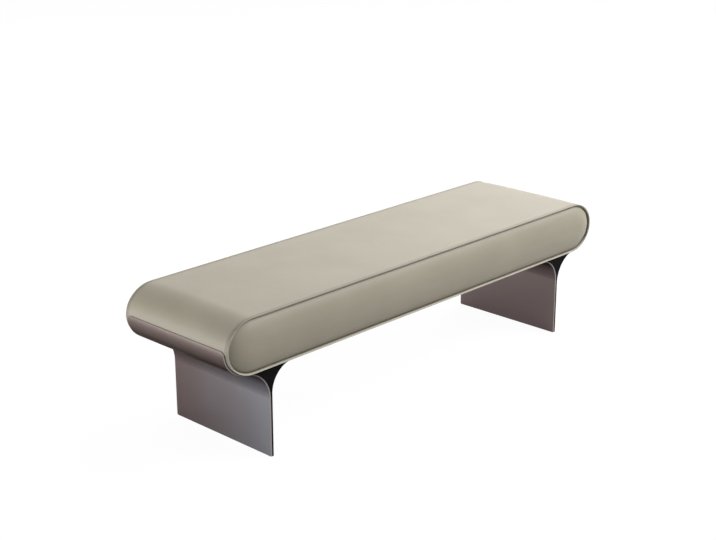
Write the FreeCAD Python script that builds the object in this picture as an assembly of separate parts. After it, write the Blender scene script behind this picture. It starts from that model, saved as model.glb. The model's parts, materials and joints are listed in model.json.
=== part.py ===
import FreeCAD, Part
import math
import os

# An upholstered bench: a long leather seat with rounded ends, carried by two legs.
# Each leg is a pair of bent metal sheets that part under the seat. The outer one curls up round its end.
# Millimetres, +Z up. X runs along the seat and Y from front to rear. The origin is on the floor, mid-seat.

os.makedirs("parts", exist_ok=True)

# Overall sizes of the seat
seat_length = 1600.0
seat_depth = 424.0
seat_thickness = 160.0
seat_underside = 268.0
seat_crown = 3.0
end_reach = 92.0

# Leather covers and the raised seam round each side panel
leather = 2.0
rim_forward = 8.0
rim_thickness = 5.0
rim_chamfer = 1.0
groove_gap = 0.4
panel_roll = 33.0
panel_roll_turn = 60.0
panel_stations = (0.0, 0.5, 1.0)
band_stations = (-1.0, -0.6, 0.0, 0.6, 1.0)
lining_length = 940.0
lining_depth = 350.0
lining_thickness = 1.0
lining_overlap = 25.0
lining_corner = 14.0

# Wadding, foam and the timber frame inside the seat
clearance = 0.2
wadding = 6.0
end_foam_thickness = 25.0
end_skin_thickness = 5.0
frame_depth = 390.0
board_thickness = 18.0
rail_height = 72.0
rail_width = 28.0
deck_thickness = 12.0
cross_rail_places = (-690.0, -460.0, -230.0, 0.0, 230.0, 460.0, 690.0)
end_rib_thickness = 12.0
end_rib_places = (-183.0, -61.0, 61.0, 183.0)

# Legs: two sheets with a black core between them
leg_face = 645.0
leg_depth = 404.0
sheet = 3.5
core = 3.0
sheet_gap = 0.8
outer_bend = 92.0
inner_bend = 78.0
flange_length = 60.0
curl_rise = 5.5
curl_corner = 16.0
edge_bevel = 2.0
core_inset = 1.0
bond = 0.1
wedge_tip = 0.8
glide_height = 1.5
glide_width = 8.0
glide_length = 396.0

# M8 screws that hold the legs to the seat
screw_places = (-140.0, 0.0, 140.0)
screw_shank = 8.0
screw_head = 14.0
screw_head_height = 4.0
screw_socket = 5.0
screw_socket_depth = 2.4
screw_hole = 9.0
nut_plate_width = 25.0
nut_plate_thickness = 5.0
nut_plate_length = 330.0

# Heights and half sizes that follow from them
half_length = seat_length / 2.0
half_depth = seat_depth / 2.0
half_thickness = seat_thickness / 2.0
middle_height = seat_underside + half_thickness
band_half = half_depth - rim_forward
straight_half = half_length - end_reach
frame_half = frame_depth / 2.0
board_top = seat_underside + leather + clearance + board_thickness
rail_top = board_top + rail_height
deck_top = rail_top + deck_thickness
panel_inset = rim_thickness + groove_gap
panel_reach = panel_roll * math.sin(math.radians(panel_roll_turn))
panel_puff = panel_roll * (1.0 - math.cos(math.radians(panel_roll_turn)))
sheet_top = seat_underside - sheet_gap
sheet_bottom = sheet_top - sheet
screw_x = leg_face - 2.0 * sheet - core - inner_bend - flange_length / 2.0
far = 3000.0

pieces = {}


def vec(x, y, z):
    return FreeCAD.Vector(x, y, z)


def box(x0, x1, y0, y1, z0, z1):
    return Part.makeBox(x1 - x0, y1 - y0, z1 - z0, vec(x0, y0, z0))


def upright_cylinder(diameter, x, y, z0, z1):
    return Part.makeCylinder(diameter / 2.0, z1 - z0, vec(x, y, z0))


def line_edge(start, end, y):
    return Part.makeLine(vec(start[0], y, start[1]), vec(end[0], y, end[1]))


def arc_point(centre, radius, degrees):
    angle = math.radians(degrees)
    return centre[0] + radius * math.cos(angle), centre[1] + radius * math.sin(angle)


def arc_edge(centre, radius, start, end, y):
    points = [arc_point(centre, radius, angle) for angle in (start, (start + end) / 2.0, end)]
    return Part.Arc(*[vec(x, y, z) for x, z in points]).toShape()


def end_radii(half_height):
    # The rounded end is a shoulder arc and a nose arc that meet at 45 degrees, so that the end
    # reaches end_reach beyond the straight part and half_height above or below the middle.
    cosine = math.cos(math.radians(45.0))
    nose = (half_height - (1.0 - cosine) * (end_reach + half_height)) / (2.0 * cosine - 1.0)
    return end_reach + half_height - nose, nose


low_shoulder, low_nose = end_radii(half_thickness)
low_shoulder_centre = (straight_half, seat_underside + low_shoulder)
low_nose_centre = (half_length - low_nose, middle_height)


def pad_wire(y, inset, crown=0.0):
    # Closed outline of the seat at this y, drawn inside the leather's face by the inset.
    high_shoulder, high_nose = end_radii(half_thickness + crown)
    top = seat_underside + seat_thickness + crown
    arcs = [
        (low_shoulder_centre, low_shoulder, -90.0),
        (low_nose_centre, low_nose, -45.0),
        ((half_length - high_nose, middle_height), high_nose, 0.0),
        ((straight_half, top - high_shoulder), high_shoulder, 45.0),
    ]
    right = [arc_edge(centre, radius - inset, start, start + 45.0, y) for centre, radius, start in arcs]
    left = [
        arc_edge((-centre[0], centre[1]), radius - inset, 135.0 - start, 180.0 - start, y)
        for centre, radius, start in reversed(arcs)
    ]
    upper = line_edge((straight_half, top - inset), (-straight_half, top - inset), y)
    lower = line_edge((-straight_half, seat_underside + inset), (straight_half, seat_underside + inset), y)
    return Part.Wire([lower] + right + [upper] + left)


def pad_slab(y0, y1, inset):
    return Part.Face(pad_wire(y0, inset)).extrude(vec(0.0, y1 - y0, 0.0))


def pad_body(inset, reach):
    # The seat between its seams, with the top crowned a little from front to rear.
    wires = []
    for station in band_stations:
        y = station * reach
        wires.append(pad_wire(y, inset, seat_crown * (1.0 - (y / band_half) ** 2)))
    return Part.makeLoft(wires, True, True)


def panel_face():
    # The puffed side panel at the front: its rounded edge is swept along the seam, round a flat middle.
    def section_point(inset, forward):
        return vec(0.0, -band_half - forward, seat_underside + panel_inset + inset)

    def roll_point(turn):
        angle = math.radians(turn)
        forward = panel_puff - panel_roll * (1.0 - math.cos(angle))
        return section_point(panel_reach - panel_roll * math.sin(angle), forward)

    seam = roll_point(panel_roll_turn)
    crest = roll_point(0.0)
    root = section_point(panel_reach, 0.0)
    roll = Part.Arc(seam, roll_point(panel_roll_turn / 2.0), crest).toShape()
    section = Part.Wire([roll, Part.makeLine(crest, root), Part.makeLine(root, seam)])
    edge_roll = pad_wire(-band_half, panel_inset).makePipe(Part.Face(section))
    middle = pad_slab(-band_half - panel_puff, -band_half, panel_inset + panel_reach)
    return edge_roll.fuse(middle).removeSplitter()


def panel_filling(thinner):
    # What fills the panel's leather: the same rounded edge in two flats, set back by this much.
    wires = []
    for station in panel_stations:
        angle = math.radians(panel_roll_turn * (1.0 - station))
        radius = panel_roll - thinner
        inset = panel_inset + panel_reach - radius * math.sin(angle)
        forward = panel_puff - panel_roll + radius * math.cos(angle)
        wires.append(pad_wire(-band_half - forward, inset))
    return Part.makeLoft(wires, True, True)


def to_rear(shape):
    return shape.mirror(vec(0.0, 0.0, 0.0), vec(0.0, 1.0, 0.0))


def to_left(shape):
    return shape.mirror(vec(0.0, 0.0, 0.0), vec(1.0, 0.0, 0.0))


def screw_points():
    return [(side * screw_x, y) for side in (-1.0, 1.0) for y in screw_places]


def make_covers():
    # One leather band runs over the top, round both ends and underneath, where the lining closes it.
    band = pad_body(0.0, band_half).cut(pad_body(leather, band_half + clearance))
    open_x = lining_length / 2.0 - lining_overlap
    open_y = lining_depth / 2.0 - lining_overlap
    below = seat_underside - leather
    above = seat_underside + 2.0 * leather
    band = band.cut(box(-open_x, open_x, -open_y, open_y, below, above))
    for x, y in screw_points():
        band = band.cut(upright_cylinder(screw_hole, x, y, below, above))
    pieces["band_cover"] = band
    panel = panel_face().cut(panel_filling(leather))
    pieces["front_side_cover"] = panel
    pieces["rear_side_cover"] = to_rear(panel)


def make_seam_rims():
    # The two leathers are sewn edge to edge and stand forward as a flat rim round the side panel.
    ring = pad_slab(-half_depth, -band_half, 0.0).cut(pad_slab(-half_depth, -band_half, rim_thickness))
    front_edges = [edge for edge in ring.Edges if edge.BoundBox.YMax < -half_depth + clearance]
    ring = ring.makeChamfer(rim_chamfer, front_edges)
    pieces["front_seam_rim"] = ring
    pieces["rear_seam_rim"] = to_rear(ring)


def make_lining():
    half_x = lining_length / 2.0
    half_y = lining_depth / 2.0
    cloth = box(-half_x, half_x, -half_y, half_y, seat_underside - lining_thickness, seat_underside)
    corners = [edge for edge in cloth.Edges if edge.BoundBox.ZLength > lining_thickness / 2.0]
    pieces["underside_lining"] = cloth.makeFillet(lining_corner, corners)


def make_padding():
    pad_half = frame_half - clearance
    above_board = box(-far, far, -pad_half, pad_half, board_top + clearance, far)
    outer = pad_body(leather + clearance, pad_half)
    inner = pad_body(leather + wadding, pad_half)
    pieces["wadding_wrap"] = outer.cut(inner).common(above_board)
    foam_inset = leather + wadding + clearance
    over_deck = box(-straight_half, straight_half, -pad_half, pad_half, deck_top + clearance, far)
    pieces["top_foam"] = pad_body(foam_inset, pad_half).common(over_deck)
    beyond = box(straight_half + clearance, far, -pad_half, pad_half, board_top + clearance, far)
    end_foam = pad_slab(-pad_half, pad_half, foam_inset)
    end_foam = end_foam.cut(pad_slab(-pad_half, pad_half, foam_inset + end_foam_thickness)).common(beyond)
    pieces["right_end_foam"] = end_foam
    pieces["left_end_foam"] = to_left(end_foam)
    backing = pad_slab(-band_half + clearance, -frame_half, leather + clearance)
    side_foam = backing.fuse(panel_filling(leather + clearance)).removeSplitter()
    pieces["front_side_foam"] = side_foam
    pieces["rear_side_foam"] = to_rear(side_foam)


def make_frame():
    # The board's lower corners at the ends are rounded to the seat's own outline.
    low_part = box(-far, far, -far, far, 0.0, board_top)
    board = pad_slab(-frame_half, frame_half, leather + clearance).common(low_part)
    for x, y in screw_points():
        board = board.cut(upright_cylinder(screw_hole, x, y, 0.0, far))
    pieces["base_board"] = board
    rail = box(-straight_half, straight_half, -frame_half, -frame_half + rail_width, board_top, rail_top)
    pieces["front_rail"] = rail
    pieces["rear_rail"] = to_rear(rail)
    inner_y = frame_half - rail_width
    cross = []
    for x in cross_rail_places:
        cross.append(box(x - rail_width / 2.0, x + rail_width / 2.0, -inner_y, inner_y, board_top, rail_top))
    pieces["cross_rails"] = Part.makeCompound(cross)
    pieces["top_deck"] = box(-straight_half, straight_half, -frame_half, frame_half, rail_top, deck_top)


def make_end_formers():
    # Half round ribs stand on the board at each end, under a bent plywood skin that carries the end foam.
    skin_inset = leather + wadding + end_foam_thickness + 2.0 * clearance
    beyond = box(straight_half + clearance, far, -far, far, board_top, far)
    skin = pad_slab(-frame_half, frame_half, skin_inset)
    skin = skin.cut(pad_slab(-frame_half, frame_half, skin_inset + end_skin_thickness)).common(beyond)
    ribs = []
    half_rib = end_rib_thickness / 2.0
    for y in end_rib_places:
        rib = pad_slab(y - half_rib, y + half_rib, skin_inset + end_skin_thickness)
        ribs.append(rib.common(beyond))
    pieces["right_end_skin"] = skin
    pieces["left_end_skin"] = to_left(skin)
    pieces["right_end_ribs"] = Part.makeCompound(ribs)
    pieces["left_end_ribs"] = to_left(pieces["right_end_ribs"])


def outer_fillet_centre():
    # The bend out of the upright is tangent both to the upright and to the curl round the seat.
    x = leg_face + outer_bend
    reach = low_shoulder + sheet_gap + sheet + outer_bend
    z = low_shoulder_centre[1] - math.sqrt(reach ** 2 - (x - straight_half) ** 2)
    return x, z


def outer_face_edges(depth, y):
    # One face of the outer sheet at this depth behind its visible face, from the foot to the curl's top.
    centre = outer_fillet_centre()
    bend = outer_bend + depth
    shoulder = low_shoulder + sheet_gap + sheet - depth
    nose = low_nose + sheet_gap + sheet - depth
    rise = centre[1] - low_shoulder_centre[1]
    run = centre[0] - low_shoulder_centre[0]
    meet = math.degrees(math.atan2(rise, run))
    top = math.degrees(math.asin(curl_rise / nose))
    return [
        line_edge((leg_face - depth, glide_height), (leg_face - depth, centre[1]), y),
        arc_edge(centre, bend, 180.0, 180.0 + meet, y),
        arc_edge(low_shoulder_centre, shoulder, meet, -45.0, y),
        arc_edge(low_nose_centre, nose, -45.0, top, y),
    ]


def inner_face_edges(depth, y):
    # One face of the inner sheet at this depth behind its visible face, from the foot to the flange's end.
    face = leg_face - 2.0 * sheet - core + depth
    centre = (leg_face - 2.0 * sheet - core - inner_bend, sheet_bottom - inner_bend)
    radius = inner_bend + depth
    return [
        line_edge((face, glide_height), (face, centre[1]), y),
        arc_edge(centre, radius, 0.0, 90.0, y),
        line_edge((centre[0], centre[1] + radius), (centre[0] - flange_length, centre[1] + radius), y),
    ]


def first_point(edges):
    return edges[0].valueAt(edges[0].FirstParameter)


def last_point(edges):
    return edges[-1].valueAt(edges[-1].LastParameter)


def sheet_between(visible, hidden, y0, y1):
    foot = Part.makeLine(first_point(hidden), first_point(visible))
    tip = Part.makeLine(last_point(visible), last_point(hidden))
    outline = Part.Wire([foot] + visible + [tip] + hidden[::-1])
    return Part.Face(outline).extrude(vec(0.0, y1 - y0, 0.0))


def corner_cutter():
    # What is taken off the curl's upper corner to round it.
    half = leg_depth / 2.0
    y = half - curl_corner
    top = middle_height + curl_rise
    z = top - curl_corner
    block = box(straight_half, far, y, half + clearance, z, top + clearance)
    return block.cut(Part.makeCylinder(curl_corner, far, vec(straight_half, y, z), vec(1.0, 0.0, 0.0)))


def bevelled(shape, visible):
    # The visible face has a bright bevel all round it, apart from its foot.
    y = first_point(visible).y
    tip = last_point(visible)
    chosen = []
    for edge in shape.Edges:
        ends = [edge.valueAt(edge.FirstParameter), edge.valueAt(edge.LastParameter)]
        marks = [Part.Vertex(point.x, y, point.z) for point in ends]
        on_face = all(min(curve.distToShape(mark)[0] for curve in visible) < bond for mark in marks)
        across = abs(ends[0].x - ends[1].x) < bond and abs(ends[0].z - ends[1].z) < bond
        at_tip = abs(ends[0].x - tip.x) < bond and abs(ends[0].z - tip.z) < bond
        if on_face and (at_tip or not across):
            chosen.append(edge)
    return shape.makeChamfer(edge_bevel, chosen)


def make_leg_sheets():
    half = leg_depth / 2.0
    face = outer_face_edges(0.0, -half)
    outer = sheet_between(face, outer_face_edges(sheet, -half), -half, half)
    cutter = corner_cutter()
    outer = bevelled(outer.cut(cutter).cut(to_rear(cutter)), face)
    pieces["right_outer_sheet"] = outer
    pieces["left_outer_sheet"] = to_left(outer)
    face = inner_face_edges(0.0, -half)
    inner = bevelled(sheet_between(face, inner_face_edges(sheet, -half), -half, half), face)
    for y in screw_places:
        inner = inner.cut(upright_cylinder(screw_hole, screw_x, y, 0.0, far))
    pieces["right_inner_sheet"] = inner
    pieces["left_inner_sheet"] = to_left(inner)


def make_leg_cores():
    # A plate fills the upright between the sheets, and a wedge with hollow sides fills the fork above it.
    half = leg_depth / 2.0 - core_inset
    outer_side = leg_face - sheet - bond
    inner_side = leg_face - sheet - core + bond
    fork = outer_fillet_centre()
    plate = box(inner_side, outer_side, -half, half, glide_height, fork[1] - bond)
    outer_radius = outer_bend + sheet + bond
    inner_radius = inner_bend + sheet + bond
    inner_centre = (inner_side - inner_radius, sheet_top - inner_radius + bond)
    outer_tip = 180.0 - math.degrees(math.asin((sheet_top - fork[1]) / outer_radius))
    inner_tip = math.degrees(math.asin((sheet_top - wedge_tip - inner_centre[1]) / inner_radius))
    tip_point = arc_point(inner_centre, inner_radius, inner_tip)
    outline = Part.Wire([
        line_edge((inner_side, fork[1]), (outer_side, fork[1]), -half),
        arc_edge(fork, outer_radius, 180.0, outer_tip, -half),
        line_edge(arc_point(fork, outer_radius, outer_tip), (tip_point[0], sheet_top), -half),
        line_edge((tip_point[0], sheet_top), tip_point, -half),
        arc_edge(inner_centre, inner_radius, inner_tip, 0.0, -half),
        line_edge((inner_side, inner_centre[1]), (inner_side, fork[1]), -half),
    ])
    wedge = Part.Face(outline).extrude(vec(0.0, 2.0 * half, 0.0))
    middle = (inner_side + outer_side) / 2.0
    across = glide_width / 2.0
    along = glide_length / 2.0
    glide = box(middle - across, middle + across, -along, along, 0.0, glide_height)
    for name, shape in (("core_plate", plate), ("core_wedge", wedge), ("glide", glide)):
        pieces["right_" + name] = shape
        pieces["left_" + name] = to_left(shape)


def leg_screw(x, y):
    # A low head with a hexagon socket, under the leg's flange.
    head_bottom = sheet_bottom - screw_head_height
    shank = upright_cylinder(screw_shank, x, y, sheet_bottom, board_top + nut_plate_thickness)
    head = upright_cylinder(screw_head, x, y, head_bottom, sheet_bottom)
    corners = []
    for step in range(7):
        angle = math.radians(60.0 * step)
        radius = screw_socket / math.sqrt(3.0)
        corners.append(vec(x + radius * math.cos(angle), y + radius * math.sin(angle), head_bottom))
    socket = Part.Face(Part.makePolygon(corners)).extrude(vec(0.0, 0.0, screw_socket_depth))
    return head.fuse(shank).removeSplitter().cut(socket)


def make_leg_fixings():
    # Steel strips with threaded holes lie on the board, so that the screws don't pull on the wood alone.
    pieces["leg_screws"] = Part.makeCompound([leg_screw(x, y) for x, y in screw_points()])
    across = nut_plate_width / 2.0
    along = nut_plate_length / 2.0
    top = board_top + nut_plate_thickness
    plate = box(screw_x - across, screw_x + across, -along, along, board_top, top)
    for y in screw_places:
        plate = plate.cut(upright_cylinder(screw_shank + clearance, screw_x, y, 0.0, far))
    pieces["right_nut_plate"] = plate
    pieces["left_nut_plate"] = to_left(plate)


make_covers()
make_seam_rims()
make_lining()
make_padding()
make_frame()
make_end_formers()
make_leg_sheets()
make_leg_cores()
make_leg_fixings()

for name, shape in pieces.items():
    if not shape.isValid():
        raise ValueError(name + " is not a valid solid")
    shape.exportStep("parts/" + name + ".step")
    print(name, len(shape.Solids), round(shape.Volume / 1000.0, 1), "cm3")
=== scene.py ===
import json
import math

import bmesh
import bpy
from mathutils import Matrix, Vector, noise


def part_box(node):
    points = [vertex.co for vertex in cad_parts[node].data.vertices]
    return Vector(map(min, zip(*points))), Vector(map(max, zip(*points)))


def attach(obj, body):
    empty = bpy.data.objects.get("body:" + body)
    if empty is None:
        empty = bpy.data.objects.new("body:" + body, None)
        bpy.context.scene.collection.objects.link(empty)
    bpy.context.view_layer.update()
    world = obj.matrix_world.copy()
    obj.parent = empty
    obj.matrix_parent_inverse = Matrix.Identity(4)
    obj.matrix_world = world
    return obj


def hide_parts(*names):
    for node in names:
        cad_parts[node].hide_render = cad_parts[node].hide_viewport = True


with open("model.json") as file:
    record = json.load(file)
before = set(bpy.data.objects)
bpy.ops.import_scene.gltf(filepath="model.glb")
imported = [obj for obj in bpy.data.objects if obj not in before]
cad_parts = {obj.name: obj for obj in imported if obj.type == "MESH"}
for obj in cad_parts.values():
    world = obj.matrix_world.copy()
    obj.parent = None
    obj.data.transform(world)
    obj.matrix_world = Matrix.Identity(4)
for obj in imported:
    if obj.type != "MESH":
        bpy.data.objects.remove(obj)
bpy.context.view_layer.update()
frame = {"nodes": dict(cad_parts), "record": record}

# An upholstered bench: a leather seat with rounded ends on two legs of bent metal sheet.
# Metres, +Z up, X along the seat, Y from front to rear.
body = "root"
scene = bpy.context.scene


# Nodes and the sums on them

def addNode(tree, kind, settings=None, sockets=None):
    node = tree.nodes.new(kind)
    for key, value in (settings or {}).items():
        setattr(node, key, value)
    for key, value in (sockets or {}).items():
        if isinstance(value, Flow):
            tree.links.new(value.socket, node.inputs[key])
        else:
            node.inputs[key].default_value = value
    return node


class Flow:
    # One output of a node, which can stand in sums with numbers and other outputs.
    def __init__(self, socket):
        self.socket = socket

    def combine(self, operation, *values):
        sockets = dict(enumerate(values))
        node = addNode(self.socket.id_data, "ShaderNodeMath", {"operation": operation}, sockets)
        return Flow(node.outputs[0])

    def __add__(self, other):
        return self.combine("ADD", self, other)

    def __sub__(self, other):
        return self.combine("SUBTRACT", self, other)

    def __rsub__(self, other):
        return self.combine("SUBTRACT", other, self)

    def __mul__(self, other):
        return self.combine("MULTIPLY", self, other)

    def __truediv__(self, other):
        return self.combine("DIVIDE", self, other)

    def __gt__(self, other):
        return self.combine("GREATER_THAN", self, other)

    def __abs__(self):
        return self.combine("ABSOLUTE", self)

    __radd__ = __add__
    __rmul__ = __mul__


class Finish:
    # A material under construction, with short ways to its usual nodes.
    def __init__(self, name):
        self.material = bpy.data.materials.new(name)
        self.material.use_nodes = True
        self.tree = self.material.node_tree
        self.tree.nodes.clear()

    def add(self, kind, settings=None, sockets=None, output=0):
        return Flow(addNode(self.tree, kind, settings, sockets).outputs[output])

    def place(self, stretch=(1.0, 1.0, 1.0)):
        # Object coordinates, in metres, stretched where a grain runs one way.
        spot = self.add("ShaderNodeTexCoord", output="Object")
        return self.add("ShaderNodeMapping", {}, {"Vector": spot, "Scale": stretch})

    def axes(self, vector):
        node = addNode(self.tree, "ShaderNodeSeparateXYZ", {}, {"Vector": vector})
        return [Flow(output) for output in node.outputs]

    def cloud(self, scale, detail=2.0, stretch=(1.0, 1.0, 1.0)):
        sockets = {"Vector": self.place(stretch), "Scale": scale, "Detail": detail}
        return self.add("ShaderNodeTexNoise", {}, sockets, "Fac")

    def cells(self, scale, stretch=(1.0, 1.0, 1.0)):
        sockets = {"Vector": self.place(stretch), "Scale": scale}
        return self.add("ShaderNodeTexVoronoi", {}, sockets, "Distance")

    def facing(self):
        return self.axes(self.add("ShaderNodeNewGeometry", output="True Normal"))

    def between(self, share, low, high):
        sockets = {"Value": share, "From Min": low, "From Max": high}
        return self.add("ShaderNodeMapRange", {"interpolation_type": "SMOOTHSTEP"}, sockets)

    def blend(self, share, first, second):
        settings = {"data_type": "RGBA"}
        return self.add("ShaderNodeMix", settings, {0: share, 6: first, 7: second}, 2)

    def bump(self, height, depth, strength=1.0):
        sockets = {"Height": height, "Distance": depth, "Strength": strength}
        return self.add("ShaderNodeBump", {}, sockets)

    def surface(self, sockets):
        shader = self.add("ShaderNodeBsdfPrincipled", {}, sockets)
        self.finishWith(shader)
        return self.material

    def finishWith(self, shader):
        addNode(self.tree, "ShaderNodeOutputMaterial", {}, {"Surface": shader})


def grey(value):
    return (value, value, value, 1.0)


def paint(red, green, blue):
    # A colour as it reads in a picture, from 0 to 255, turned into the linear values of a shader.
    def linear(channel):
        share = channel / 255.0
        return share / 12.92 if share <= 0.04045 else ((share + 0.055) / 1.055) ** 2.4

    return (linear(red), linear(green), linear(blue), 1.0)


# Materials

leatherLook = {
    "light": paint(165, 158, 140),
    "dark": paint(159, 152, 134),
    "patchScale": 5.0,
    # seamShade and seamDepth are the colour and strength of painted shade in the seams' grooves.
    "seamShade": paint(84, 79, 68),
    "seamDepth": 0.8,
    "grainShade": 0.16,
    "edgePaint": paint(172, 166, 151),
    "edgeStart": 0.55,
    "edgeBlend": 0.2,
    "grainScale": 850.0,
    "poreScale": 2600.0,
    "poreShare": 0.3,
    "grainDepth": 0.00016,
    "grainStrength": 0.8,
    "creaseScale": 26.0,
    "creaseDepth": 0.0006,
    "creaseStrength": 0.35,
    "roughness": 0.50,
    "patchRoughness": 0.06,
    "grainRoughness": 0.08,
    "gloss": 0.6,
}


def leatherFinish(name, painted=False):
    # Grained hide. On the rims the cut edges, which face the front and the rear, are painted.
    look = leatherLook
    finish = Finish(name)
    broad = finish.cloud(look["patchScale"], 3.0)
    pebbles = finish.cells(look["grainScale"])
    pores = finish.cloud(look["poreScale"], 2.0)
    creases = finish.cloud(look["creaseScale"], 4.0)
    # Painted shade: a share that the band, the panels and the rims carry darkens the colour towards
    # seamShade in and along the seams' grooves.
    seam = finish.add("ShaderNodeAttribute", {"attribute_name": "paintedSeamShade"}, {}, "Fac")
    colour = finish.blend(finish.between(broad, 0.3, 0.7), look["dark"], look["light"])
    shade = pebbles * look["grainShade"] + seam * look["seamDepth"]
    colour = finish.blend(shade, colour, look["seamShade"])
    if painted:
        facing = abs(finish.facing()[1])
        edge = finish.between(facing, look["edgeStart"], look["edgeStart"] + look["edgeBlend"])
        colour = finish.blend(edge, colour, look["edgePaint"])
    grain = pebbles * 0.8 + pores * look["poreShare"]
    folds = {
        "Height": creases,
        "Distance": look["creaseDepth"],
        "Strength": look["creaseStrength"],
        "Normal": finish.bump(grain, look["grainDepth"], look["grainStrength"]),
    }
    return finish.surface({
        "Base Color": colour,
        "Roughness": look["roughness"] + broad * look["patchRoughness"] + pebbles * look["grainRoughness"],
        "Normal": finish.add("ShaderNodeBump", {}, folds),
        "Specular IOR Level": look["gloss"],
    })


threadLook = {
    "colour": paint(140, 133, 118),
    "twistScale": 1800.0,
    "depth": 0.0001,
    "roughness": 0.7,
}


def threadFinish():
    look = threadLook
    finish = Finish("thread")
    twist = finish.cloud(look["twistScale"], 2.0)
    colour = finish.blend(twist, look["colour"], leatherLook["seamShade"])
    relief = finish.bump(twist, look["depth"], 0.5)
    roughness = look["roughness"] + twist * 0.1
    return finish.surface({"Base Color": colour, "Roughness": roughness, "Normal": relief})


liningLook = {
    "pitch": 0.0011,
    "hollow": paint(26, 26, 28),
    "raised": paint(52, 52, 54),
    "fuzzScale": 300.0,
    "fuzzShare": 0.4,
    "depth": 0.00025,
    "roughness": 0.85,
}


def liningFinish():
    # A plain weave, from two waves across each other, under a little fuzz.
    look = liningLook
    finish = Finish("liningCloth")
    x, y = finish.axes(finish.place())[:2]
    warp, weft = [along.combine("SINE", along / look["pitch"] * math.tau) for along in (x, y)]
    weave = warp * weft * 0.5 + 0.5
    fuzz = finish.cloud(look["fuzzScale"], 3.0)
    share = weave * (1.0 - look["fuzzShare"]) + fuzz * look["fuzzShare"]
    colour = finish.blend(share, look["hollow"], look["raised"])
    relief = finish.bump(weave + fuzz, look["depth"], 0.7)
    roughness = look["roughness"] + fuzz * 0.1
    return finish.surface({"Base Color": colour, "Roughness": roughness, "Normal": relief})


bronzeLook = {
    # cool and warm are lit and shaded colours of the same lacquer, set by place as painted reflection and
    # shade; curl is a lighter brown on the curl at the top.
    "cool": paint(134, 134, 140),
    "warm": paint(105, 93, 92),
    "curl": paint(122, 110, 106),
    "cutEdge": paint(46, 42, 44),
    "coolStart": 0.40,
    "coolEnd": 1.20,
    "coolDrift": 0.3,
    "coolToFront": 1.6,
    "coolToLeft": 0.9,
    "warmAbove": 0.8,
    "warmLow": 0.20,
    "warmHigh": 0.28,
    "curlLow": 0.285,
    "curlHigh": 0.32,
    "curlEdge": 0.344,
    "bevel": paint(152, 144, 141),
    "bevelLow": 0.35,
    "bevelHigh": 0.92,
    "brushScale": 60.0,
    "brushStretch": (14.0, 14.0, 1.0),
    "brushDepth": 0.00002,
    "roughness": 0.33,
    "grazingTint": grey(0.25),
}


def bronzeFinish():
    # Satin metal with a bare bright bevel, where a face turns between the sheet's face and its edge.
    look = bronzeLook
    finish = Finish("bronzeMetal")

    def turned(facing):
        return (facing > look["bevelLow"]) * (look["bevelHigh"] - facing > 0.0)

    across = abs(finish.facing()[1])
    upward = finish.facing()[2]
    x, y, height = finish.axes(finish.place())
    sideBevel = turned(across)
    topBevel = turned(upward) * (height > look["curlEdge"])
    bevel = sideBevel.combine("MAXIMUM", sideBevel, topBevel)
    drift = finish.cloud(3.0, 2.0)
    brush = finish.cloud(look["brushScale"], 4.0, look["brushStretch"])
    # Painted reflection and shade: the colour drifts from a warm brown to a lighter, cooler grey towards
    # the front left, and turns back to the warm brown higher up, over the bend under the seat, where the
    # sheet mirrors the shaded floor. A little noise adds random tone.
    toneAndPaintedReflection = drift * look["coolDrift"] - y * look["coolToFront"] - x * look["coolToLeft"]
    toneAndPaintedLight = toneAndPaintedReflection - finish.between(height, look["warmLow"], look["warmHigh"]) * look["warmAbove"]
    toneAndLitShare = finish.between(toneAndPaintedLight, look["coolStart"], look["coolEnd"])
    curled = finish.between(height, look["curlLow"], look["curlHigh"])
    colour = finish.blend(toneAndLitShare, finish.blend(curled, look["warm"], look["curl"]), look["cool"])
    colour = finish.blend(across > look["bevelHigh"], colour, look["cutEdge"])
    return finish.surface({
        "Base Color": finish.blend(bevel, colour, look["bevel"]),
        "Roughness": look["roughness"] + brush * 0.05 + drift * 0.03,
        "Metallic": 1.0,
        "Normal": finish.bump(brush, look["brushDepth"], 0.5),
        "Specular Tint": look["grazingTint"],
    })


speckledLooks = {
    "black_metal": {
        "name": "blackMetal",
        "colours": (paint(18, 17, 19), paint(26, 25, 27)),
        "scale": 700.0,
        "roughness": 0.7,
        "gloss": 0.06,
    },
    "black_wood": {
        "name": "blackWood",
        "colours": (paint(9, 8, 10), paint(15, 14, 16)),
        "scale": 500.0,
        "roughness": 0.7,
        "gloss": 0.06,
    },
    "nylon": {
        "name": "nylon",
        "colours": (paint(44, 44, 46), paint(58, 58, 60)),
        "scale": 900.0,
        "roughness": 0.5,
    },
    "black_steel": {
        "name": "blackSteel",
        "colours": (paint(52, 52, 54), paint(70, 70, 73)),
        "scale": 800.0,
        "roughness": 0.38,
        "metallic": 0.9,
    },
    "zinc_steel": {
        "name": "zincSteel",
        "colours": (paint(186, 188, 192), paint(206, 207, 210)),
        "scale": 500.0,
        "roughness": 0.34,
        "metallic": 1.0,
    },
    "foam": {
        "name": "foam",
        "colours": (paint(228, 214, 166), paint(214, 198, 146)),
        "scale": 900.0,
        "roughness": 0.9,
        "depth": 0.0006,
    },
    "wadding": {
        "name": "wadding",
        "colours": (paint(240, 240, 236), paint(226, 226, 222)),
        "scale": 260.0,
        "roughness": 0.95,
        "depth": 0.0012,
    },
}


def speckledFinish(name, colours, scale, roughness, metallic=0.0, depth=0.0001, gloss=0.5):
    # A plain finish with its fine speckle, such as powder coat, nylon, foam or zinc.
    finish = Finish(name)
    speckle = finish.cloud(scale, 3.0)
    fine = finish.cells(scale * 3.0)
    return finish.surface({
        "Base Color": finish.blend(finish.between(speckle, 0.3, 0.7), *colours),
        "Roughness": roughness + speckle * 0.1,
        "Metallic": metallic,
        "Normal": finish.bump(speckle + fine * 0.5, depth, 0.6),
        "Specular IOR Level": gloss,
    })


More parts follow.
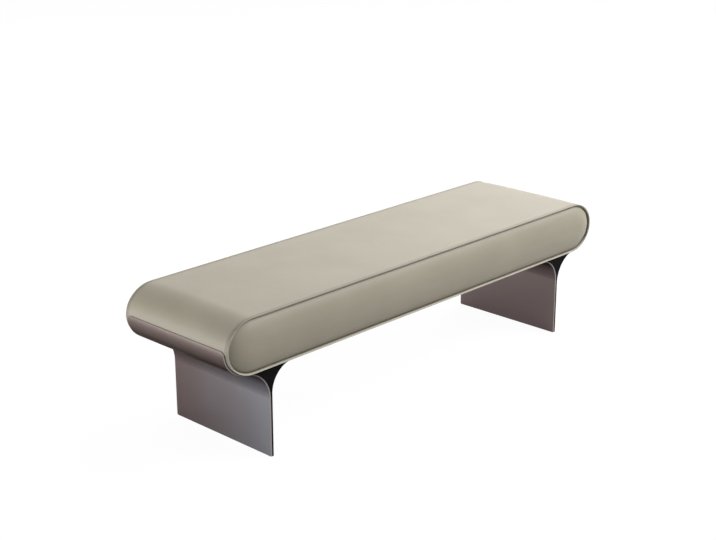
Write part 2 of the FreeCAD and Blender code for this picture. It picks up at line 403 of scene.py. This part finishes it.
plywoodLook = {
    "ply": 0.0028,
    "faces": (paint(214, 186, 146), paint(186, 150, 108)),
    "edges": (paint(205, 172, 128), paint(140, 102, 66)),
    "grainScale": 14.0,
    "grainStretch": (0.6, 9.0, 9.0),
    "roughness": 0.62,
}

beechLook = {
    "faces": (paint(206, 160, 116), paint(172, 122, 82)),
    "fleck": paint(120, 78, 50),
    "fleckSize": 0.28,
    "fleckShare": 0.35,
    "fleckScale": 420.0,
    "fleckStretch": (0.25, 1.0, 1.0),
    "grainScale": 11.0,
    "grainStretch": (0.5, 8.0, 8.0),
    "roughness": 0.55,
}

woodGrainDepth = 0.0002


def plywoodFinish():
    # Birch veneers: their edges show as thin bands, the faces as long soft grain.
    look = plywoodLook
    finish = Finish("plywood")
    height = finish.axes(finish.place())[2]
    flat = abs(finish.facing()[2]) > 0.8
    band = height.combine("PINGPONG", height / look["ply"], 1.0) > 0.5
    grain = finish.cloud(look["grainScale"], 5.0, look["grainStretch"])
    face = finish.blend(grain, *look["faces"])
    edge = finish.blend(band, *look["edges"])
    colour = finish.blend(flat, edge, face)
    relief = finish.bump(grain, woodGrainDepth, 0.5)
    roughness = look["roughness"] + grain * 0.1
    return finish.surface({"Base Color": colour, "Roughness": roughness, "Normal": relief})


def beechFinish():
    # Long grain with short dark flecks.
    look = beechLook
    finish = Finish("beech")
    grain = finish.cloud(look["grainScale"], 6.0, look["grainStretch"])
    flecks = finish.cells(look["fleckScale"], look["fleckStretch"])
    colour = finish.blend(grain, *look["faces"])
    colour = finish.blend((look["fleckSize"] - flecks > 0.0) * look["fleckShare"], colour, look["fleck"])
    relief = finish.bump(grain, woodGrainDepth, 0.5)
    roughness = look["roughness"] + grain * 0.1
    return finish.surface({"Base Color": colour, "Roughness": roughness, "Normal": relief})


# Each slot of the record, and thread, with its material
finishes = {
    "leather": leatherFinish("leather"),
    "leather_rim": leatherFinish("leatherRim", painted=True),
    "thread": threadFinish(),
    "lining": liningFinish(),
    "bronze_metal": bronzeFinish(),
    "plywood": plywoodFinish(),
    "hardwood": beechFinish(),
}
for slot, look in speckledLooks.items():
    finishes[slot] = speckledFinish(**look)
print("materials", len(finishes))


# The camera stands where the photograph was taken from

photo = {
    "width": 716.0,
    "focalPixels": 1449.18,
    "place": (-3.05831, -2.84821, 1.77291),
    "yaw": 46.1504,
    "pitch": 19.0296,
    "roll": -0.0934,
    "sensor": 36.0,
    "nearest": 0.1,
    "farthest": 60.0,
}


def makeCamera():
    data = bpy.data.cameras.new("camera")
    data.sensor_width = photo["sensor"]
    data.lens = photo["focalPixels"] * photo["sensor"] / photo["width"]
    data.clip_start = photo["nearest"]
    data.clip_end = photo["farthest"]
    yaw, pitch, roll = [math.radians(photo[key]) for key in ("yaw", "pitch", "roll")]
    forward = Vector((math.sin(yaw) * math.cos(pitch), math.cos(yaw) * math.cos(pitch), -math.sin(pitch)))
    level = Vector((math.cos(yaw), -math.sin(yaw), 0.0))
    above = level.cross(forward)
    right = level * math.cos(roll) + above * math.sin(roll)
    up = above * math.cos(roll) - level * math.sin(roll)
    turn = Matrix((right, up, -forward)).transposed()
    camera = bpy.data.objects.new("camera", data)
    camera.matrix_world = Matrix.Translation(photo["place"]) @ turn.to_4x4()
    scene.collection.objects.link(camera)
    scene.camera = camera


makeCamera()


# Floor, background and lamps

studio = {
    "floorSize": 40.0,
    "floorColour": grey(0.35),
    "floorSheen": grey(0.90),
    "floorShare": 0.80,
    "floorGlow": 1.2,
    "glossyShare": 0.25,
    "mottleScale": 0.6,
    "mottleShare": 0.02,
    "worldFill": grey(0.27),
    "white": grey(1.0),
}

lamps = {
    "topLamp": {"place": (3.0, 0.7, 3.0), "size": (3.0, 2.4), "power": 74.0},
    "frontLamp": {"place": (5.2, -4.1, 5.1), "size": (6.5, 5.0), "power": 700.0},
    "endLamp": {"place": (-3.6, 1.5, 0.30), "size": (1.6, 0.6), "power": 82.0},
    "backLamp": {"place": (4.6, 4.4, 2.2), "size": (5.0, 2.0), "power": 60.0},
}
lampTarget = (0.0, 0.0, 0.30)


def seenRays(tree, glossyShare):
    # Camera, glossy and transmission rays, which see the white background.
    rays = addNode(tree, "ShaderNodeLightPath")
    seen = Flow(rays.outputs["Is Camera Ray"]) + Flow(rays.outputs["Is Glossy Ray"]) * glossyShare
    seen = seen + Flow(rays.outputs["Is Transmission Ray"])
    return seen.combine("MINIMUM", seen, 1.0)


def makeFloor():
    finish = Finish("floorPaint")
    mottle = finish.cloud(studio["mottleScale"], 2.0)
    gloss = finish.add("ShaderNodeLightPath", output="Is Glossy Ray")
    colour = finish.blend(gloss, studio["floorColour"], studio["floorSheen"])
    colour = finish.blend(mottle * studio["mottleShare"], colour, studio["white"])
    lit = finish.add("ShaderNodeBsdfDiffuse", {}, {"Color": colour})
    glow = finish.add("ShaderNodeEmission", {}, {"Color": studio["white"], "Strength": studio["floorGlow"]})
    seen = seenRays(finish.tree, studio["glossyShare"]) * studio["floorShare"]
    finish.finishWith(finish.add("ShaderNodeMixShader", {}, {0: seen, 1: lit, 2: glow}))
    half = studio["floorSize"] / 2.0
    corners = [(-half, -half, 0.0), (half, -half, 0.0), (half, half, 0.0), (-half, half, 0.0)]
    mesh = bpy.data.meshes.new("floor")
    mesh.from_pydata(corners, [], [(0, 1, 2, 3)])
    mesh.materials.append(finish.material)
    floor = bpy.data.objects.new("floor", mesh)
    scene.collection.objects.link(floor)


def makeWorld():
    world = bpy.data.worlds.new("studio")
    world.use_nodes = True
    tree = world.node_tree
    tree.nodes.clear()
    seen = seenRays(tree, 1.0)
    colours = {0: seen, 6: studio["worldFill"], 7: studio["white"]}
    mixed = addNode(tree, "ShaderNodeMix", {"data_type": "RGBA"}, colours)
    background = addNode(tree, "ShaderNodeBackground", {}, {"Color": Flow(mixed.outputs[2])})
    addNode(tree, "ShaderNodeOutputWorld", {}, {"Surface": Flow(background.outputs[0])})
    scene.world = world


def makeLamps():
    for name, lamp in lamps.items():
        data = bpy.data.lights.new(name, "AREA")
        data.shape = "RECTANGLE"
        data.size, data.size_y = lamp["size"]
        data.energy = lamp["power"]
        holder = bpy.data.objects.new(name, data)
        away = Vector(lamp["place"]) - Vector(lampTarget)
        turn = away.to_track_quat("Z", "Y").to_matrix().to_4x4()
        holder.matrix_world = Matrix.Translation(lamp["place"]) @ turn
        scene.collection.objects.link(holder)


makeFloor()
makeWorld()
makeLamps()
scene.view_settings.view_transform = "Standard"
print("stage and lamps")


# The seat's outline, which the band, the rims and the side panels share

rimLow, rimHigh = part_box("front_seam_rim")

seat = {
    "half": rimHigh.x,
    "bottom": rimLow.z,
    "top": rimHigh.z,
    "bandHalf": -rimHigh.y,
    "rimFront": -rimLow.y,
    "endReach": 0.092,
    "straightSteps": 176,
    "arcSteps": 9,
}
seat["middle"] = (seat["bottom"] + seat["top"]) / 2.0
seat["straight"] = seat["half"] - seat["endReach"]


def endRadii():
    # A shoulder arc and a nose arc that meet at 45 degrees make each round end.
    halfHeight = seat["top"] - seat["middle"]
    cosine = math.cos(math.radians(45.0))
    nose = (halfHeight - (1.0 - cosine) * (seat["endReach"] + halfHeight)) / (2.0 * cosine - 1.0)
    return seat["endReach"] + halfHeight - nose, nose


shoulder, nose = endRadii()


def lowerOutline(inset):
    # The lower half of the outline from the left nose to the right one, as (x, z) points.
    steps = seat["arcSteps"]
    arcs = []
    for centreX, centreZ, radius, start in (
        (seat["straight"], seat["bottom"] + shoulder, shoulder, -90.0),
        (seat["half"] - nose, seat["middle"], nose, -45.0),
    ):
        reach = radius - inset
        for step in range(steps):
            angle = math.radians(start + 45.0 * (step + 1) / steps)
            arcs.append((centreX + reach * math.cos(angle), centreZ + reach * math.sin(angle)))
    line = []
    for step in range(seat["straightSteps"] + 1):
        share = step / seat["straightSteps"]
        line.append((seat["straight"] * (2.0 * share - 1.0), seat["bottom"] + inset))
    return [(-x, z) for x, z in reversed(arcs)] + line + arcs


def outline(inset):
    # The whole outline, round from the left nose through the underside and back over the top.
    lower = lowerOutline(inset)
    upper = [(x, 2.0 * seat["middle"] - z) for x, z in reversed(lower[1:-1])]
    return lower + upper


pointCount = len(outline(0.0))
lowerCount = len(lowerOutline(0.0))


def addRing(mesh, points, y):
    return [mesh.verts.new((x, y, z)) for x, z in points]


def joinRings(mesh, first, second):
    for index in range(len(first)):
        after = (index + 1) % len(first)
        mesh.faces.new((first[index], first[after], second[after], second[index]))


def mirrored(index):
    # The point of the upper half that stands over this one of the lower half.
    return (pointCount - index) % pointCount


def closeRing(mesh, ring, rows):
    # Upright strips of faces fill the ring, from each lower point to the one above it.
    columns = []
    for index in range(lowerCount):
        low = ring[index]
        high = ring[mirrored(index)]
        if low == high:
            columns.append([low])
            continue
        inner = [mesh.verts.new(low.co.lerp(high.co, row / rows)) for row in range(1, rows)]
        columns.append([low] + inner + [high])
    for left, right in zip(columns, columns[1:]):
        if len(left) == 1:
            left = left * len(right)
        if len(right) == 1:
            right = right * len(left)
        for row in range(rows):
            corners = [left[row], right[row], right[row + 1], left[row + 1]]
            face = [corner for place, corner in enumerate(corners) if corner not in corners[:place]]
            mesh.faces.new(face)


def makeObject(name, mesh, finish):
    data = bpy.data.meshes.new(name)
    bmesh.ops.recalc_face_normals(mesh, faces=mesh.faces)
    mesh.to_mesh(data)
    mesh.free()
    data.materials.append(finishes[finish])
    for polygon in data.polygons:
        polygon.use_smooth = True
    piece = bpy.data.objects.new(name, data)
    scene.collection.objects.link(piece)
    return piece


def smoothstep(value, low, high):
    share = min(max((value - low) / (high - low), 0.0), 1.0)
    return share * share * (3.0 - 2.0 * share)


def setAttribute(piece, name, values):
    attribute = piece.data.attributes.new(name, "FLOAT", "POINT")
    attribute.data.foreach_set("value", values)


def subdivide(piece):
    modifier = piece.modifiers.new("smooth", "SUBSURF")
    modifier.levels = 1
    modifier.render_levels = 1


def declare(piece, replaced=()):
    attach(piece, body)
    if replaced:
        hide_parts(*replaced)


padCloth = {
    "pressure": 4.0,
    "frames": 20,
    "quality": 5,
    "tension": 40.0,
    "bending": 20.0,
    "least": 0.4,
}


def inflate(piece, heldWeights, allowance, cap):
    # The cover is blown up as cloth with its seams held. Each point then moves outward only,
    # by no more than the cap times its allowance.
    group = piece.vertex_groups.new(name="held")
    for index, weight in enumerate(heldWeights):
        if weight > 0.0:
            group.add([index], weight, "REPLACE")
    modifier = piece.modifiers.new("cloth", "CLOTH")
    settings = modifier.settings
    settings.quality = padCloth["quality"]
    settings.use_pressure = True
    settings.uniform_pressure_force = padCloth["pressure"]
    settings.tension_stiffness = padCloth["tension"]
    settings.bending_stiffness = padCloth["bending"]
    settings.vertex_group_mass = "held"
    settings.effector_weights.gravity = 0.0
    modifier.point_cache.frame_start = 1
    modifier.point_cache.frame_end = padCloth["frames"]
    for step in range(1, padCloth["frames"] + 1):
        scene.frame_set(step)
    swollen = piece.evaluated_get(bpy.context.evaluated_depsgraph_get())
    after = [point.co.copy() for point in swollen.data.vertices]
    piece.modifiers.remove(modifier)
    piece.vertex_groups.remove(group)
    scene.frame_set(1)
    points = piece.data.vertices
    normals = [point.normal.copy() for point in points]
    outward = [(moved - point.co).dot(normal) for point, moved, normal in zip(points, after, normals)]
    most = max(outward)
    for point, normal, rise, share in zip(points, normals, outward, allowance):
        swell = padCloth["least"] + (1.0 - padCloth["least"]) * max(rise, 0.0) / most
        point.co += normal * cap * share * swell
    piece.data.update()
    low, high = [round(rise * 1000.0, 1) for rise in (min(outward), most)]
    print("inflated", piece.name, "from", low, "to", high, "mm")


# The leather band over the top, round both ends and underneath

band = {
    "rows": 52,
    "edgeDip": 0.0009,
    "edgeRun": 0.006,
    "crown": 0.0015,
    "heldEdge": 0.004,
    "heldBottom": 0.002,
    "swell": 0.0022,
    "swellLow": 0.035,
    "swellHigh": 0.075,
    "swellSeam": 0.002,
    "swellEdge": 0.05,
    "seamShade": 0.005,
    "sag": 0.0006,
    "sagEdge": 0.04,
    "waves": (5.0, 9.0, 12.0),
    "fill": 0.95,
}


def bandCrown(y):
    return band["crown"] * (1.0 - (y / seat["bandHalf"]) ** 2)


def makeBand():
    mesh = bmesh.new()
    rings = []
    half = seat["bandHalf"]
    for row in range(band["rows"] + 1):
        # Rows lie closer together at the seams, where the leather turns in.
        y = half * math.sin(math.pi / 2.0 * (2.0 * row / band["rows"] - 1.0))
        dip = band["edgeDip"] * (1.0 - smoothstep(half - abs(y), 0.0, band["edgeRun"])) ** 2
        points = []
        for x, z in outline(dip):
            rise = smoothstep(z, seat["middle"], seat["top"])
            points.append((x, z + bandCrown(y) * rise))
        rings.append(addRing(mesh, points, y))
    for first, second in zip(rings, rings[1:]):
        joinRings(mesh, first, second)
    closeRing(mesh, rings[0], 1)
    closeRing(mesh, rings[-1], 1)
    piece = makeObject("seatBand", mesh, "leather")
    held = []
    allowance = []
    near = []
    for point in piece.data.vertices:
        inside = half - abs(point.co.y)
        sewn = inside < band["heldEdge"] or point.co.z < seat["bottom"] + band["heldBottom"]
        held.append(1.0 if sewn else 0.0)
        upper = smoothstep(point.co.z - seat["middle"], band["swellLow"], band["swellHigh"])
        allowance.append(upper * smoothstep(inside, band["swellSeam"], band["swellEdge"]))
        # Painted shade: the band darkens within a few millimetres of its seams.
        near.append(1.0 - smoothstep(inside, 0.0, band["seamShade"]))
    inflate(piece, held, allowance, band["swell"])
    for point in piece.data.vertices:
        # Long shallow waves, as hide has where it is drawn round a bend.
        wave = noise.noise(point.co * Vector(band["waves"]))
        upper = smoothstep(point.co.z, seat["middle"], seat["top"])
        inside = smoothstep(half - abs(point.co.y), 0.0, band["sagEdge"])
        point.co.z += wave * band["sag"] * upper * inside
    setAttribute(piece, "paintedSeamShade", near)
    subdivide(piece)
    declare(piece, ["band_cover"])


makeBand()
print("band")


# The puffed side panels

panel = {
    "inset": 0.0054,
    "root": 0.0025,
    "puff": 0.0165,
    "fullness": 2.4,
    "edgeTurn": 0.64,
    "rollInsets": (
        0.0, 0.0004, 0.0012, 0.0026, 0.0046, 0.0074, 0.0110,
        0.0155, 0.0210, 0.0280, 0.0365, 0.0465, 0.0576,
    ),
    "middleRows": 6,
    "back": -0.003,
    "leather": 0.0030,
    "heldRise": 0.001,
    "seamShade": 0.005,
    "paleStart": 0.02,
    "paleEnd": 0.015,
    "paleNose": 0.75,
    "swell": 0.0024,
    "fill": 0.85,
}


def panelRise(inset):
    # How far the panel stands forward of the band's edge, this far inside the seat's outline.
    middle = seat["middle"] - seat["bottom"]
    share = min(max((inset - panel["inset"]) / (middle - panel["inset"]), 0.0), 1.0)
    full = (1.0 - (1.0 - share) ** panel["fullness"]) ** panel["edgeTurn"]
    return (panel["puff"] + panel["root"]) * full - panel["root"]


def makePanel(side, name, node):
    mesh = bmesh.new()
    half = seat["bandHalf"]
    rings = []
    for step in panel["rollInsets"]:
        inset = panel["inset"] + step
        rings.append(addRing(mesh, outline(inset), side * (half + panelRise(inset))))
    back = addRing(mesh, outline(panel["inset"]), side * (half + panel["back"]))
    joinRings(mesh, back, rings[0])
    for first, second in zip(rings, rings[1:]):
        joinRings(mesh, first, second)
    closeRing(mesh, rings[-1], panel["middleRows"])
    closeRing(mesh, back, 2)
    piece = makeObject(name, mesh, "leather")
    held = []
    allowance = []
    near = []
    for point in piece.data.vertices:
        forward = side * point.co.y - half
        held.append(1.0 if forward < panel["heldRise"] else 0.0)
        allowance.append(smoothstep(forward, 0.0, panel["puff"]))
        # Painted shade darkens the groove at the panel's root; towards the nose of each end, where the
        # groove opens to the light, it is paler.
        start, end = seat["straight"] + panel["paleStart"], seat["half"] - panel["paleEnd"]
        depth = 1.0 - smoothstep(forward, -panel["root"], panel["seamShade"])
        pale = panel["paleNose"] * smoothstep(abs(point.co.x), start, end)
        near.append(depth * (1.0 - pale))
    inflate(piece, held, allowance, panel["swell"])
    setAttribute(piece, "paintedSeamShade", near)
    subdivide(piece)
    declare(piece, [node])


makePanel(-1.0, "frontPanel", "front_side_cover")
makePanel(1.0, "rearPanel", "rear_side_cover")
print("side panels")


# The seam rims, two leathers sewn together that stand forward of the band

rim = {
    "thickness": 0.005,
    "edgeRound": 0.0009,
    "joint": 0.0004,
    "lean": 0.0030,
    "leanStart": 0.5,
    "leanFull": 0.95,
    "outerInset": 0.0002,
    "behind": 0.003,
    "innerFoot": 0.001,
    "roundSteps": 4,
    "seamShade": 0.3,
}


def rimSection():
    # The rim's section, from its outer root round the front edge to its inner root: each point's
    # inset, its depth, and how far it sinks where the front edge leans back towards the panel.
    # Two arcs round the front edge, and a small notch parts its two leathers.
    front = seat["rimFront"]
    radius = rim["edgeRound"]
    low = rim["outerInset"]
    high = rim["thickness"]
    middle = (low + high) / 2.0
    root = seat["bandHalf"] - rim["behind"]
    turns = [math.radians(90.0 * step / rim["roundSteps"]) for step in range(rim["roundSteps"] + 1)]
    edge = [(low, (seat["bandHalf"] + front) / 2.0)]
    for angle in turns:
        edge.append((low + radius * (1.0 - math.cos(angle)), front - radius + radius * math.sin(angle)))
    edge += [(middle - rim["joint"], front), (middle, front - rim["joint"]), (middle + rim["joint"], front)]
    for angle in turns:
        edge.append((high - radius * (1.0 - math.sin(angle)), front - radius * (1.0 - math.cos(angle))))
    leaning = [(inset, depth, rim["lean"] * (inset - low) / (high - low)) for inset, depth in edge]
    outerRoot = [(low, root, 0.0), (low, seat["bandHalf"], 0.0)]
    innerRoot = [(high, seat["bandHalf"] + rim["innerFoot"], 0.0), (high, root, 0.0)]
    return outerRoot + leaning + innerRoot


def makeRim(side, name, node):
    # The front edge leans along the straight runs and stands square round the nose of each end.
    mesh = bmesh.new()
    rings = []
    outer = outline(0.0)
    for inset, depth, sink in rimSection():
        ring = []
        for (x, z), start in zip(outline(inset), outer):
            upright = abs(z - start[1]) / inset
            lean = sink * smoothstep(upright, rim["leanStart"], rim["leanFull"])
            ring.append(mesh.verts.new((x, side * (depth - lean), z)))
        rings.append(ring)
    for first, second in zip(rings, rings[1:] + rings[:1]):
        joinRings(mesh, first, second)
    piece = makeObject(name, mesh, "leather_rim")
    # Painted shade darkens the whole rim a little and evenly.
    setAttribute(piece, "paintedSeamShade", [rim["seamShade"]] * len(piece.data.vertices))
    subdivide(piece)
    declare(piece, [node])


makeRim(-1.0, "frontRim", "front_seam_rim")
makeRim(1.0, "rearRim", "rear_seam_rim")
print("seam rims")


# Geometry nodes set a template along a path: stitches on the rims, staples in the lining

def pathTree():
    tree = bpy.data.node_groups.new("alongPath", "GeometryNodeTree")
    for name, kind in (
        ("Path", "NodeSocketGeometry"),
        ("Template", "NodeSocketObject"),
        ("Pitch", "NodeSocketFloat"),
        ("Wander", "NodeSocketFloat"),
        ("Side", "NodeSocketVector"),
        ("Seed", "NodeSocketInt"),
        ("Finish", "NodeSocketMaterial"),
    ):
        tree.interface.new_socket(name, in_out="INPUT", socket_type=kind)
    tree.interface.new_socket("Geometry", in_out="OUTPUT", socket_type="NodeSocketGeometry")
    entry = tree.nodes.new("NodeGroupInput")
    given = {socket.name: Flow(socket) for socket in entry.outputs if socket.name}

    def step(kind, settings, sockets, output=0):
        return Flow(addNode(tree, kind, settings, sockets).outputs[output])

    curve = step("GeometryNodeMeshToCurve", {}, {0: given["Path"]})
    spaced = {"Curve": curve, "Length": given["Pitch"]}
    row = addNode(tree, "GeometryNodeCurveToPoints", {"mode": "LENGTH"}, spaced)
    along = {"Vector": Flow(row.outputs["Tangent"])}
    turn = step("FunctionNodeAlignRotationToVector", {"axis": "X"}, along)
    flat = {"Rotation": turn, "Vector": given["Side"]}
    turn = step("FunctionNodeAlignRotationToVector", {"axis": "Y", "pivot_axis": "X"}, flat)
    low = given["Wander"] * -1.0
    random = addNode(tree, "FunctionNodeRandomValue", {"data_type": "FLOAT"})
    tree.links.new(low.socket, random.inputs[2])
    tree.links.new(given["Wander"].socket, random.inputs[3])
    tree.links.new(given["Seed"].socket, random.inputs[8])
    tilt = step("ShaderNodeCombineXYZ", {}, {"Y": Flow(random.outputs[1])})
    tilt = step("FunctionNodeEulerToRotation", {}, {"Euler": tilt})
    tilted = {"Rotation": turn, "Rotate By": tilt}
    turn = step("FunctionNodeRotateRotation", {"rotation_space": "LOCAL"}, tilted)
    shape = step("GeometryNodeObjectInfo", {}, {"Object": given["Template"]}, "Geometry")
    placed = {"Points": Flow(row.outputs["Points"]), "Instance": shape, "Rotation": turn}
    copies = step("GeometryNodeInstanceOnPoints", {}, placed)
    real = step("GeometryNodeRealizeInstances", {}, {0: copies})
    dressed = step("GeometryNodeSetMaterial", {}, {"Geometry": real, "Material": given["Finish"]})
    addNode(tree, "NodeGroupOutput", {}, {0: dressed})
    return tree


alongPath = pathTree()


def layAlong(name, points, template, settings):
    # The points make a closed path. The tree's inputs are set by their sockets' identifiers.
    data = bpy.data.meshes.new(name)
    edges = [(index, (index + 1) % len(points)) for index in range(len(points))]
    data.from_pydata(points, edges, [])
    holder = bpy.data.objects.new(name, data)
    scene.collection.objects.link(holder)
    modifier = holder.modifiers.new("alongPath", "NODES")
    modifier.node_group = alongPath
    values = dict(settings, Template=template)
    for socket in alongPath.interface.items_tree:
        if socket.in_out == "INPUT" and socket.name in values:
            modifier[socket.identifier] = values[socket.name]
    graph = bpy.context.evaluated_depsgraph_get()
    made = bpy.data.meshes.new_from_object(holder.evaluated_get(graph), depsgraph=graph)
    bpy.data.objects.remove(holder)
    piece = bpy.data.objects.new(name, made)
    for polygon in made.polygons:
        polygon.use_smooth = True
    scene.collection.objects.link(piece)
    return piece


stitch = {
    "pitch": 0.0046,
    "length": 0.0036,
    "width": 0.0007,
    "arch": 0.00035,
    "taper": 0.35,
    "sides": 6,
    "steps": 6,
    "depth": 0.0034,
    "lift": 0.00005,
    "wander": 0.02,
    "seed": 3,
}


def tube(mesh, centres, radii, sides):
    # A closed tube through the centres, drawn in the XZ plane along X.
    rings = []
    for (x, z), radius in zip(centres, radii):
        ring = []
        for side in range(sides):
            angle = math.tau * side / sides
            ring.append(mesh.verts.new((x, radius * math.cos(angle), z + radius * math.sin(angle))))
        rings.append(ring)
    for first, second in zip(rings, rings[1:]):
        joinRings(mesh, first, second)
    mesh.faces.new(rings[0])
    mesh.faces.new(rings[-1])


def stitchTemplate():
    # One thread's visible length, whose ends dip into their holes.
    mesh = bmesh.new()
    centres = []
    radii = []
    for step in range(stitch["steps"] + 1):
        share = 2.0 * step / stitch["steps"] - 1.0
        centres.append((share * stitch["length"] / 2.0, stitch["arch"] * share ** 4))
        radii.append(stitch["width"] / 2.0 * (1.0 - stitch["taper"] * share ** 4))
    tube(mesh, centres, radii, stitch["sides"])
    return makeObject("stitchTemplate", mesh, "thread")


def makeStitches():
    template = stitchTemplate()
    for side, name in ((-1.0, "frontStitches"), (1.0, "rearStitches")):
        y = side * (seat["bandHalf"] + stitch["depth"])
        points = [(x, y, z) for x, z in outline(rim["outerInset"] - stitch["lift"])]
        settings = {
            "Pitch": stitch["pitch"],
            "Wander": stitch["wander"],
            "Side": (0.0, 1.0, 0.0),
            "Seed": stitch["seed"],
            "Finish": finishes["thread"],
        }
        piece = layAlong(name, points, template, settings)
        declare(piece)
    bpy.data.objects.remove(template)


makeStitches()
print("stitches")


# The black lining under the seat, with its turned hem and staples

liningLow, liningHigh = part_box("underside_lining")

lining = {
    "cellsLong": 188,
    "cellsDeep": 70,
    "thickness": 0.0005,
    "gap": 0.0001,
    "hem": 0.012,
    "hemDrop": 0.0003,
    "billow": 0.0012,
    "billowEdge": 0.09,
    "waves": (4.0, 7.0),
    "wavesSeed": 3.0,
    "pucker": 0.0005,
    "puckerEdge": 0.04,
}

staple = {
    "pitch": 0.032,
    "crown": 0.010,
    "wire": 0.0007,
    "leg": 0.0012,
    "bend": 0.0006,
    "inset": 0.006,
    "drop": 0.0012,
    "flatness": 1.6,
    "wander": 0.12,
    "seed": 7,
}


def makeLining():
    # The cloth hangs a little between its staples and lies double at the hem.
    mesh = bmesh.new()
    low, high = liningLow, liningHigh
    top = high.z - lining["gap"]
    grid = []
    for row in range(lining["cellsDeep"] + 1):
        line = []
        for column in range(lining["cellsLong"] + 1):
            x = low.x + (high.x - low.x) * column / lining["cellsLong"]
            y = low.y + (high.y - low.y) * row / lining["cellsDeep"]
            inside = min(x - low.x, high.x - x, y - low.y, high.y - y)
            loose = smoothstep(inside, lining["hem"], lining["billowEdge"])
            place = (x * lining["waves"][0], y * lining["waves"][1], lining["wavesSeed"])
            wave = 0.5 + 0.5 * noise.noise(Vector(place))
            drop = lining["thickness"] + lining["billow"] * loose * wave
            if inside < lining["hem"]:
                drop += lining["hemDrop"]
            along = x if inside in (y - low.y, high.y - y) else y
            pull = math.cos(math.tau * along / staple["pitch"])
            close = 1.0 - smoothstep(inside, 0.0, lining["puckerEdge"])
            drop += lining["pucker"] * close * (0.5 - 0.5 * pull)
            line.append(mesh.verts.new((x, y, top - drop)))
        grid.append(line)
    for first, second in zip(grid, grid[1:]):
        for column in range(lining["cellsLong"]):
            mesh.faces.new((first[column], second[column], second[column + 1], first[column + 1]))
    data = bpy.data.meshes.new("liningCloth")
    mesh.to_mesh(data)
    mesh.free()
    data.materials.append(finishes["lining"])
    for polygon in data.polygons:
        polygon.use_smooth = True
    piece = bpy.data.objects.new("liningCloth", data)
    scene.collection.objects.link(piece)
    solid = piece.modifiers.new("thickness", "SOLIDIFY")
    solid.thickness = lining["thickness"]
    solid.offset = 1.0
    declare(piece, ["underside_lining"])


def stapleTemplate():
    # A crown of flat wire with two short, thin legs that go up into the board.
    mesh = bmesh.new()
    half = staple["crown"] / 2.0
    bend = staple["bend"]
    radius = staple["wire"] / 2.0
    width = radius * staple["flatness"]
    rings = []
    for x, z in (
        (-half, staple["leg"]),
        (-half, bend),
        (-half + bend, 0.0),
        (0.0, 0.0),
        (half - bend, 0.0),
        (half, bend),
        (half, staple["leg"]),
    ):
        thick = radius if abs(x) < half else 0.0
        inward = 0.0 if abs(x) < half else math.copysign(radius, x)
        corners = ((-width, -thick), (width, -thick), (width, thick), (-width, thick))
        rings.append([mesh.verts.new((x - inward, across, z + rise)) for across, rise in corners])
    for first, second in zip(rings, rings[1:]):
        joinRings(mesh, first, second)
    mesh.faces.new(rings[0])
    mesh.faces.new(rings[-1])
    return makeObject("stapleTemplate", mesh, "zinc_steel")


def makeStaples():
    template = stapleTemplate()
    inset = staple["inset"]
    left, right = liningLow.x + inset, liningHigh.x - inset
    front, rear = liningLow.y + inset, liningHigh.y - inset
    z = liningHigh.z - staple["drop"]
    points = [(left, front, z), (left, rear, z), (right, rear, z), (right, front, z)]
    settings = {
        "Pitch": staple["pitch"],
        "Wander": staple["wander"],
        "Side": (0.0, 0.0, 1.0),
        "Seed": staple["seed"],
        "Finish": finishes["zinc_steel"],
    }
    piece = layAlong("liningStaples", points, template, settings)
    bpy.data.objects.remove(template)
    declare(piece)


makeLining()
makeStaples()
print("lining and staples")


# Foam and wadding inside, as soft blocks with eased edges

# Each node's piece: its name, its finish, the width of its eased edges and its fill
softInside = {
    "wadding_wrap": ("waddingWrap", "wadding", 0.0012, 0.6),
    "top_foam": ("topFoam", "foam", 0.003, 1.0),
    "left_end_foam": ("leftEndFoam", "foam", 0.003, 1.0),
    "right_end_foam": ("rightEndFoam", "foam", 0.003, 1.0),
    "front_side_foam": ("frontSideFoam", "foam", 0.002, 1.0),
    "rear_side_foam": ("rearSideFoam", "foam", 0.002, 1.0),
}

softEdge = {
    "merge": 1e-5,
    "segments": 2,
    "sharpness": 50.0,
}


def insetAt(x, z):
    # How far a point of the side view lies inside the seat's outline.
    along = abs(x)
    below = abs(z - seat["middle"])
    if along <= seat["straight"]:
        return seat["middle"] - seat["bottom"] - below
    noseCentre = seat["half"] - nose
    if along - noseCentre >= below:
        return nose - math.hypot(along - noseCentre, below)
    shoulderRise = seat["bottom"] + shoulder - seat["middle"]
    return shoulder - math.hypot(along - seat["straight"], below + shoulderRise)


def pressUnderPanel(mesh):
    # The side foams stay behind the leather of their panels.
    for point in mesh.verts:
        rise = max(panelRise(insetAt(point.co.x, point.co.z)), 0.0)
        room = seat["bandHalf"] + rise - panel["leather"]
        if abs(point.co.y) > room:
            point.co.y = math.copysign(room, point.co.y)


def makeSoftInside():
    for node, (name, finish, ease, fill) in softInside.items():
        mesh = bmesh.new()
        mesh.from_mesh(frame["nodes"][node].data)
        bmesh.ops.remove_doubles(mesh, verts=mesh.verts, dist=softEdge["merge"])
        if node in ("front_side_foam", "rear_side_foam"):
            pressUnderPanel(mesh)
        piece = makeObject(name, mesh, finish)
        soften = piece.modifiers.new("ease", "BEVEL")
        soften.width = ease
        soften.segments = softEdge["segments"]
        soften.limit_method = "ANGLE"
        soften.angle_limit = math.radians(softEdge["sharpness"])
        declare(piece, [node])


makeSoftInside()
print("foam and wadding")


# The rigid nodes keep their shapes and get their finishes

def dressNodes():
    slots = {entry["node"]: entry["material_slot"] for entry in frame["record"]["subparts"]}
    for node, piece in frame["nodes"].items():
        if piece.hide_render:
            continue
        for holder in piece.material_slots:
            holder.material = finishes[slots[node]]


dressNodes()
print("rigid nodes")
